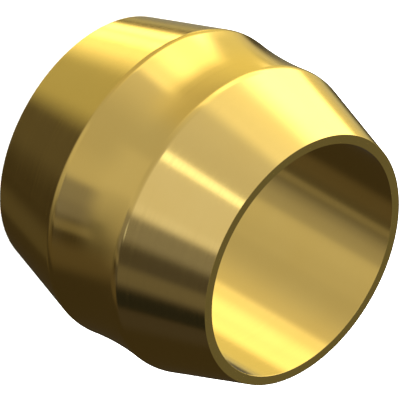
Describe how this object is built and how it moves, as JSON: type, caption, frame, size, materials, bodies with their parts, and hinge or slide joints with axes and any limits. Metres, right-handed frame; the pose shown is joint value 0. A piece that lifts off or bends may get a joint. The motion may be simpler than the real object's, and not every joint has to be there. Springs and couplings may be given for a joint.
{
  "type": "compression olive",
  "caption": "Brass ring with a straight bore, equal end cones and a slightly waisted band, squeezed onto a tube by a compression fitting's nut to seal the joint.",
  "frame": {"origin": "on the axis, at the end face that it stands on", "axes": "+Z along the bore's axis, from the end it stands on to the other end; X and Y are free, as the ring is round"},
  "size_m": [0.0106, 0.0106, 0.0092],
  "materials": {
    "turned_brass": "turned and bright tumbled"
  },
  "bodies": {
    "root": {"olive": "turned_brass"}
  },
  "joints": []
}
